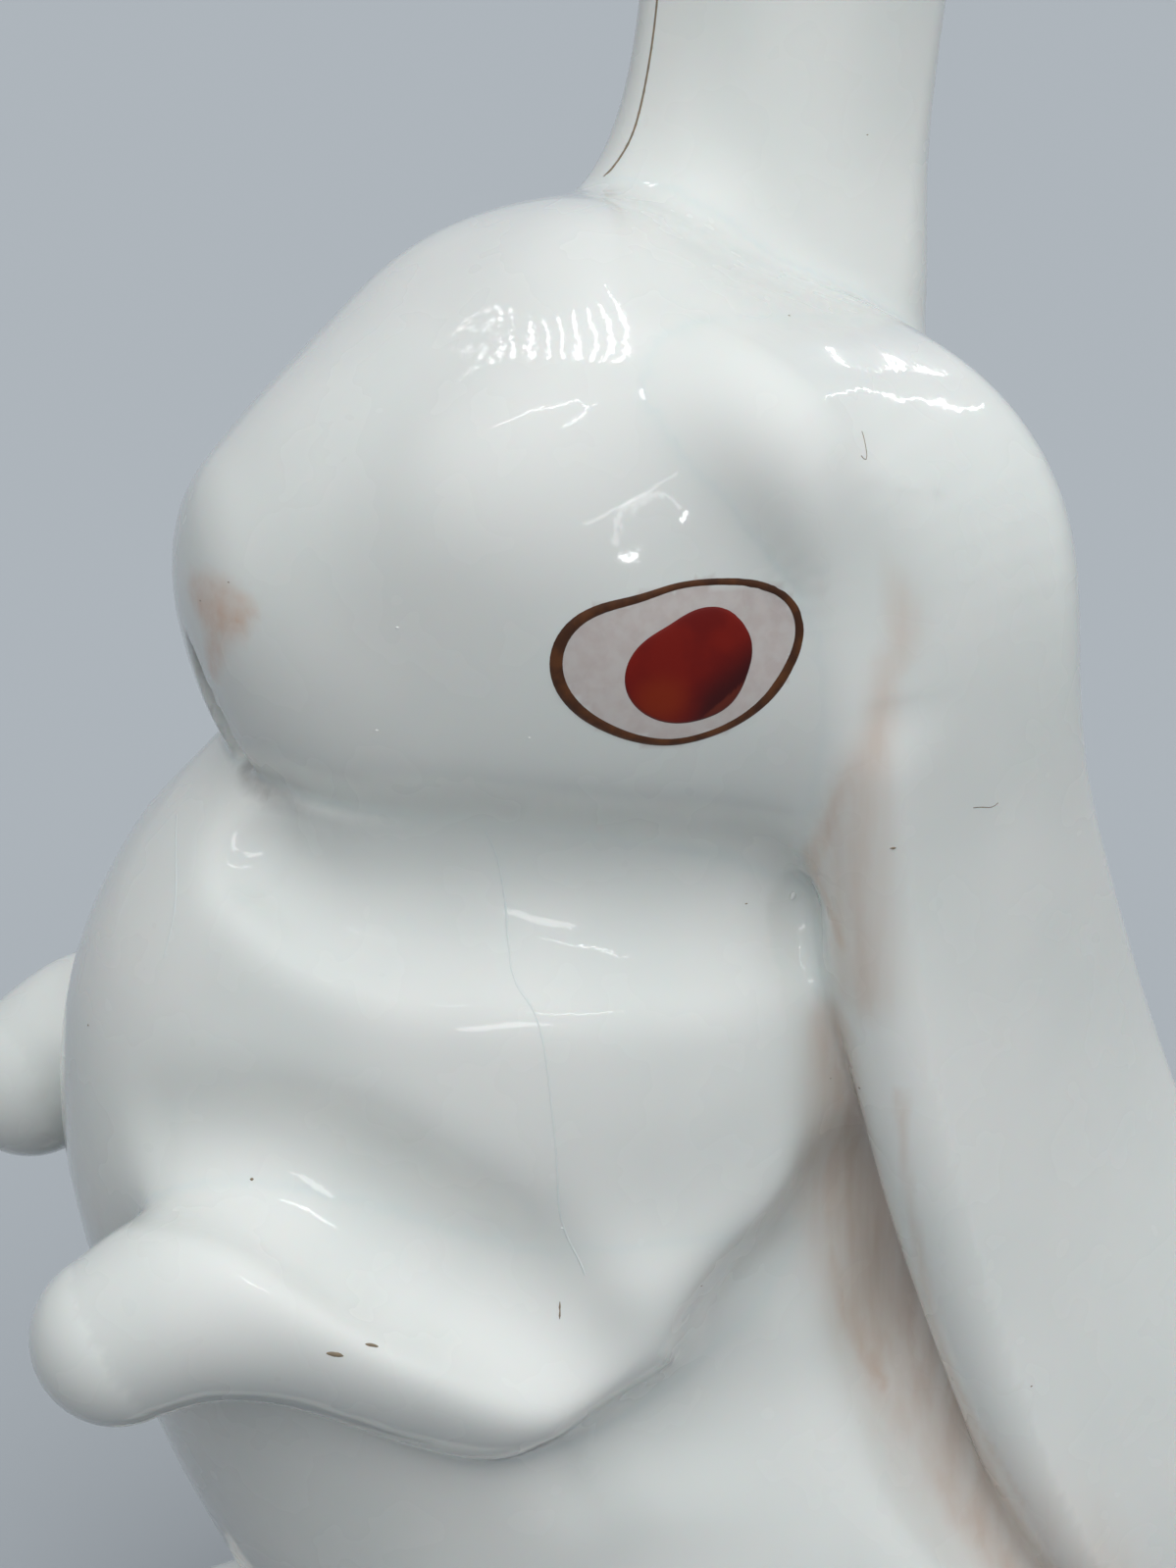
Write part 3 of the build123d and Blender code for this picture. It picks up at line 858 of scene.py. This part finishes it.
def linear(red, green, blue):
    """An sRGB colour, 0 to 255, as the shader's linear colour."""
    parts = (c / 255 for c in (red, green, blue))
    return tuple(c / 12.92 if c <= 0.04045 else ((c + 0.055) / 1.055) ** 2.4 for c in parts) + (1,)


class Graph:
    """Short calls for the nodes of a material or of the world."""

    def __init__(self, tree):
        self.nodes, self.link = tree.nodes, tree.links.new

    def feed(self, socket, value):
        """Sets a socket from another socket or from a plain value."""
        if isinstance(value, bpy.types.NodeSocket):
            self.link(value, socket)
        else:
            socket.default_value = value

    def calculate(self, operation, a, b):
        node = self.nodes.new("ShaderNodeMath")
        node.operation = operation
        self.feed(node.inputs[0], a)
        self.feed(node.inputs[1], b)
        return node.outputs[0]

    def mix(self, share, *colours, blend="MIX"):
        """A colour between two others; each is a socket or a plain sRGB colour."""
        node = self.nodes.new("ShaderNodeMix")
        node.data_type, node.blend_type = "RGBA", blend
        self.feed(node.inputs[0], share)
        for socket, colour in zip(node.inputs[6:8], colours):
            self.feed(socket, linear(*colour) if isinstance(colour, tuple) else colour)
        return node.outputs[2]

    def when_seen(self, unseen, seen):
        """One colour for soft light and another for the camera, for mirrors and through glass."""
        path = self.nodes.new("ShaderNodeLightPath").outputs
        share = 0
        for ray in ("Is Camera Ray", "Is Glossy Ray", "Is Transmission Ray"):
            share = self.calculate("MAXIMUM", path[ray], share)
        return self.mix(share, unseen, seen)


class Finish(Graph):
    """A material with one Principled shader."""

    def __init__(self, name, **settings):
        self.material = bpy.data.materials.new(name)
        self.material.use_nodes = True
        super().__init__(self.material.node_tree)
        self.shader = self.nodes["Principled BSDF"]
        self.place = self.nodes.new("ShaderNodeTexCoord").outputs["Object"]
        for socket, value in settings.items():
            self.shader.inputs[socket.replace("_", " ")].default_value = value

    def paint(self, colour):
        self.feed(self.shader.inputs["Base Color"], colour)

    def stretched(self, x=1, y=1, z=1):
        node = self.nodes.new("ShaderNodeMapping")
        node.inputs["Scale"].default_value = (x, y, z)
        self.link(self.place, node.inputs["Vector"])
        return node.outputs["Vector"]

    def noise(self, scale, detail=2, at=None):
        node = self.nodes.new("ShaderNodeTexNoise")
        node.inputs["Scale"].default_value = scale
        node.inputs["Detail"].default_value = detail
        self.link(at or self.place, node.inputs["Vector"])
        return node.outputs["Fac"]

    def attribute(self, name):
        node = self.nodes.new("ShaderNodeAttribute")
        node.attribute_name = name
        return node.outputs["Fac"]

    def height(self):
        node = self.nodes.new("ShaderNodeSeparateXYZ")
        self.link(self.place, node.inputs["Vector"])
        return node.outputs["Z"]

    def span(self, value, low, high, out_low=0, out_high=1):
        node = self.nodes.new("ShaderNodeMapRange")
        node.interpolation_type = "SMOOTHSTEP"
        limits = {"From Min": low, "From Max": high, "To Min": out_low, "To Max": out_high}
        for name, number in limits.items():
            node.inputs[name].default_value = number
        self.link(value, node.inputs["Value"])
        return node.outputs["Result"]

    def times(self, a, b):
        return self.calculate("MULTIPLY", a, b)

    def bump(self, height, depth):
        node = self.nodes.new("ShaderNodeBump")
        self.feed(node.inputs["Distance"], depth)
        self.link(height, node.inputs["Height"])
        return node.outputs["Normal"]


def make_glaze():
    glaze = Finish("clear_glaze", Coat_Weight=1.0, Coat_Roughness=0.05, Coat_IOR=1.5, Specular_IOR_Level=0.2,
                   Subsurface_Weight=0.12, Subsurface_Scale=0.0012)
    white = glaze.mix(glaze.span(glaze.noise(90), 0.35, 0.65), (230, 232, 229), (224, 228, 225))
    grain = glaze.span(glaze.noise(900, 3, glaze.stretched(1, 1, 0.12)), 0.3, 0.7, 0.6, 1)
    colour = glaze.mix(glaze.times(glaze.attribute("blush"), grain), white, (196, 152, 118))
    dabs = glaze.span(glaze.noise(1300, 3), 0.3, 0.7, 0.75, 1.1)
    cloudy = glaze.span(glaze.noise(1500), 0.3, 0.7, 0.75, 0.95)
    # the shade and crease tints are painted shade: darker brown under the hanging ear's rim and in the
    # creases of the mouth and cheek
    for tint, strength, shown in (("nose", dabs, (206, 160, 128)), ("shade", grain, (118, 96, 84)),
                                  ("crease_shade", dabs, (84, 74, 66)), ("wash", cloudy, (198, 186, 182))):
        colour = glaze.mix(glaze.times(glaze.attribute(tint), strength), colour, shown)
    foot = glaze.span(glaze.height(), 0.0004, 0.0008, 1, 0)
    glaze.paint(glaze.mix(foot, colour, (214, 208, 198)))
    satin = glaze.span(glaze.noise(260), 0.3, 0.7, 0.22, 0.3)
    glaze.link(glaze.calculate("MAXIMUM", satin, glaze.times(foot, 0.7)), glaze.shader.inputs["Roughness"])
    pitted = glaze.calculate("ADD", glaze.noise(330, 1), glaze.times(glaze.noise(2600, 1), 0.06))
    depth = glaze.span(glaze.height(), 0.054, 0.062, 0.00012, 0.00004)
    glaze.link(glaze.bump(pitted, depth), glaze.shader.inputs["Coat Normal"])
    return glaze.material


def make_bisque():
    bisque = Finish("bare_porcelain", Roughness=0.75)
    bisque.paint(bisque.mix(bisque.span(bisque.noise(500, 4), 0.3, 0.7), (216, 210, 200), (202, 194, 182)))
    bisque.link(bisque.bump(bisque.noise(2500, 3), 0.00005), bisque.shader.inputs["Normal"])
    return bisque.material


def make_brown_enamel():
    enamel = Finish("brown_enamel", Roughness=0.3, Specular_IOR_Level=0.3)
    enamel.paint(enamel.mix(enamel.span(enamel.noise(1200, 3), 0.35, 0.7), (66, 34, 12), (92, 52, 22)))
    return enamel.material


def make_red_enamel():
    enamel = Finish("red_enamel", Roughness=0.3, Specular_IOR_Level=0.25)
    colour = enamel.mix(enamel.span(enamel.noise(420, 3), 0.38, 0.62), (106, 8, 1), (120, 17, 3))
    for tint, shown in (("amber", (130, 36, 4)), ("deep", (60, 0, 0)), ("thin", (100, 36, 22))):
        colour = enamel.mix(enamel.attribute(tint), colour, shown)
    enamel.paint(colour)
    return enamel.material


# building the pieces


def make_skin(glaze, bisque, low=(-24, -33, -1.2), high=(24, 37.5, 150), cheek=8):
    low, high = np.array(low), np.array(high)
    points, quads = net_surface(sample_field(low, high), low)
    points = settle(points, 2)
    for _ in range(2):
        points = settle(relax(points, quads))
    points[:, 2] = np.maximum(points[:, 2], 0)
    normals = gradient(rabbit, points)
    tints = paint(points)
    around = np.arctan2(points[:, 2] - Eye.middle[1], points[:, 1] - Eye.middle[0])
    out = np.hypot(points[:, 2] - Eye.middle[1], points[:, 1] - Eye.middle[0])
    inside_line = out < round_table(Eye.outline)(around)
    tints["wash"] = (inside_line & (np.abs(points[:, 0]) > cheek)).astype(float)
    owners = owner(points[quads].mean(axis=1))
    centres = {"trunk": (0, -1, 36), "head": (0, -1, 70), "base": (0, 6.75, 12)}
    paths = {"raised_ear": raised_ear, "hanging_ear": hanging_ear, "left_forepaw": arms[0],
             "right_forepaw": arms[1], "left_hind_foot": feet[0], "right_hind_foot": feet[1],
             "tail": Path([(0, 28, 15), (0, 28, 7)])}
    nodes = {"raised_ear": "upright_ear", "hanging_ear": "lop_ear", "base": "base_plate"}
    for number, name in enumerate(PIECES):
        used, corners = np.unique(quads[owners == number], return_inverse=True)
        own_quads = corners.reshape(-1, 4)
        own_points, caps = close_piece(points[used], normals[used], own_quads, centres.get(name),
                                       paths.get(name))
        piece = make_mesh("bare_base" if name == "base" else "glazed_" + name, own_points, own_quads, caps,
                          normals[used])
        for tint, cover in tints.items():
            set_attribute(piece, tint, np.r_[cover[used], np.zeros(len(own_points) - len(used))])
        piece.data.materials.append(bisque if name == "base" else glaze)
        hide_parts(nodes.get(name, name))
        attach(piece, "root")


def make_eyes():
    brown, red = make_brown_enamel(), make_red_enamel()
    for side in (1, -1):
        line = make_eye_line(side, brown)
        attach(line, "root")
        iris = make_iris(side)
        iris.data.materials.append(red)
        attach(iris, "root")


clear_glaze = make_glaze()
make_skin(clear_glaze, make_bisque())
make_eyes()
make_flaws(clear_glaze)


# floor and light


def make_floor(reach=3000):
    corners = [(-reach, -reach, 0), (reach, -reach, 0), (reach, reach, 0), (-reach, reach, 0)]
    floor = make_mesh("floor", corners, [(0, 1, 2, 3)])
    finish = Finish("floor", Roughness=0.9, Specular_IOR_Level=0.1)
    finish.paint(finish.when_seen((72, 78, 84), (176, 182, 188)))
    floor.data.materials.append(finish.material)


EVEN_GLOW = 0.07  # what comes from every side
ROOM = [(85, 31, 0.76, 3), (140, 70, 1.5, 2.5), (50, 50, 0.5, 3)]  # azimuth, elevation, strength, sharpness
GLINTS = [  # thin lamps: what mirrors them, brightness, width in metres, and directions from end to end
    *((("head",), 16, width, ends) for width, ends in (
        (0.001, [(-60.3, 41.1), (-59.9, 41.5)]), (0.0012, [(-60.9, 42), (-60.3, 41.7)]),
        (0.0015, [(-60.9, 43.9), (-60.7, 42.9)]), (0.002, [(-59.9, 47.5), (-61.3, 44.8)]),
        (0.0025, [(-57.6, 52.2), (-62.1, 47.1)]), (0.003, [(-54.1, 57.5), (-63.2, 49.9)]),
        (0.0035, [(-49.4, 63.2), (-65.1, 53.1)]), (0.004, [(-43.3, 69.5), (-68.4, 56.4)]),
        (0.0045, [(-35.9, 73.1), (-73.8, 59.6)]), (0.005, [(-26.5, 76.1), (-82.3, 62)]),
        (0.005, [(-15.6, 78.3), (-91.2, 61.6)]), (0.005, [(-5.3, 79.3), (-100.4, 59.8)]))),
    (("head",), 12, 0.005, [(3.4, 59.8), (13.9, 66.5), (38.9, 67.6)]),
    (("head",), 12, 0.005, [(38.9, 67.6), (52.9, 63.7), (56.3, 58.2)]),
    (("head",), 20, 0.014, [(88.6, 0.9), (90.6, 0.9)]),
    (("head",), 3.4, 0.011, [(86.3, 15.4), (79.5, 12.9)]), (("head",), 3.4, 0.011, [(86.3, 15.4), (87.6, 4)]),
    (("head", "hanging_ear"), 16, 0.004, [(-126.6, 19), (-135.4, 23.6)]),
    (("head", "hanging_ear"), 16, 0.004, [(-159.6, 33.2), (-147.5, 26.8)]),
    (("head", "raised_ear"), 10, 0.004, [(-112.9, 16.2), (-119.1, 28.4)]),
    (("head", "raised_ear"), 10, 0.003, [(-113.1, 5.4), (-116.3, -1.4)]),
    (("raised_ear",), 14, 0.015, [(-131, 29.4), (-133.2, 29.4)]),
    (("trunk",), 3.2, 0.06, [(66, 24), (86, 30)]),
    (("trunk",), 5, 0.008, [(50.9, 62.8), (55.9, 62.2)]),
    (("trunk",), 6, 0.012, [(86.3, 47.9), (97, 48.3), (108, 51.3)]),
    (("left_forepaw",), 5, 0.03, [(95.8, 67.5), (97.1, 58), (109.7, 52.5)]),
    (("left_forepaw",), 3, 0.08, [(-143.6, 53.2), (-157.3, 47.6)]),
]


def glint(number, mirrored_by, brightness, width, ends, reach=0.6, target=(0, 0, 0.06)):
    """A thin lamp between two directions from the rabbit; only the glaze of these pieces mirrors it."""
    start, end = (Vector(target) + Vector(direction(*way)) * reach for way in ends)
    length = (end - start).length + width
    data = bpy.data.lights.new(f"glint_{number}", "AREA")
    data.shape = "RECTANGLE"
    data.size, data.size_y = length, width
    data.energy = brightness * math.pi * length * width
    lamp = place_object(data.name, data)
    lamp.location = (start + end) / 2
    out = (lamp.location - Vector(target)).normalized()
    along = (end - start - out * out.dot(end - start)).normalized()
    lamp.rotation_euler = Matrix((along, out.cross(along), out)).transposed().to_euler()
    lamp.visible_diffuse = False
    group = bpy.data.collections.new(data.name)
    for name in mirrored_by:
        group.objects.link(bpy.data.objects["glazed_" + name])
    lamp.light_linking.receiver_collection = group


def light_scene():
    """A soft room, brighter above and in front, and the thin lamps that the glaze mirrors."""
    world = bpy.data.worlds.new("room")
    bpy.context.scene.world = world
    world.use_nodes = True
    room = Graph(world.node_tree)
    way = room.nodes.new("ShaderNodeTexCoord").outputs["Generated"]
    total = EVEN_GLOW
    for azimuth, elevation, strength, sharpness in ROOM:
        towards = room.nodes.new("ShaderNodeVectorMath")
        towards.operation = "DOT_PRODUCT"
        towards.inputs[1].default_value = direction(azimuth, elevation)
        room.link(way, towards.inputs[0])
        glow = room.calculate("POWER", room.calculate("MAXIMUM", towards.outputs["Value"], 0), sharpness)
        total = room.calculate("ADD", room.calculate("MULTIPLY", glow, strength), total)
    level = room.nodes.new("ShaderNodeCombineColor")
    for socket in level.inputs:
        room.link(total, socket)
    lit = room.mix(1, level.outputs[0], (250, 252, 253), blend="MULTIPLY")
    room.link(room.when_seen(lit, (192, 198, 204)), room.nodes["Background"].inputs["Color"])
    number = 0
    for mirrored_by, brightness, width, ways in GLINTS:
        for ends in zip(ways, ways[1:]):
            number += 1
            glint(number, mirrored_by, brightness, width, ends)


make_floor()
light_scene()
bpy.context.scene.view_settings.view_transform = "Standard"
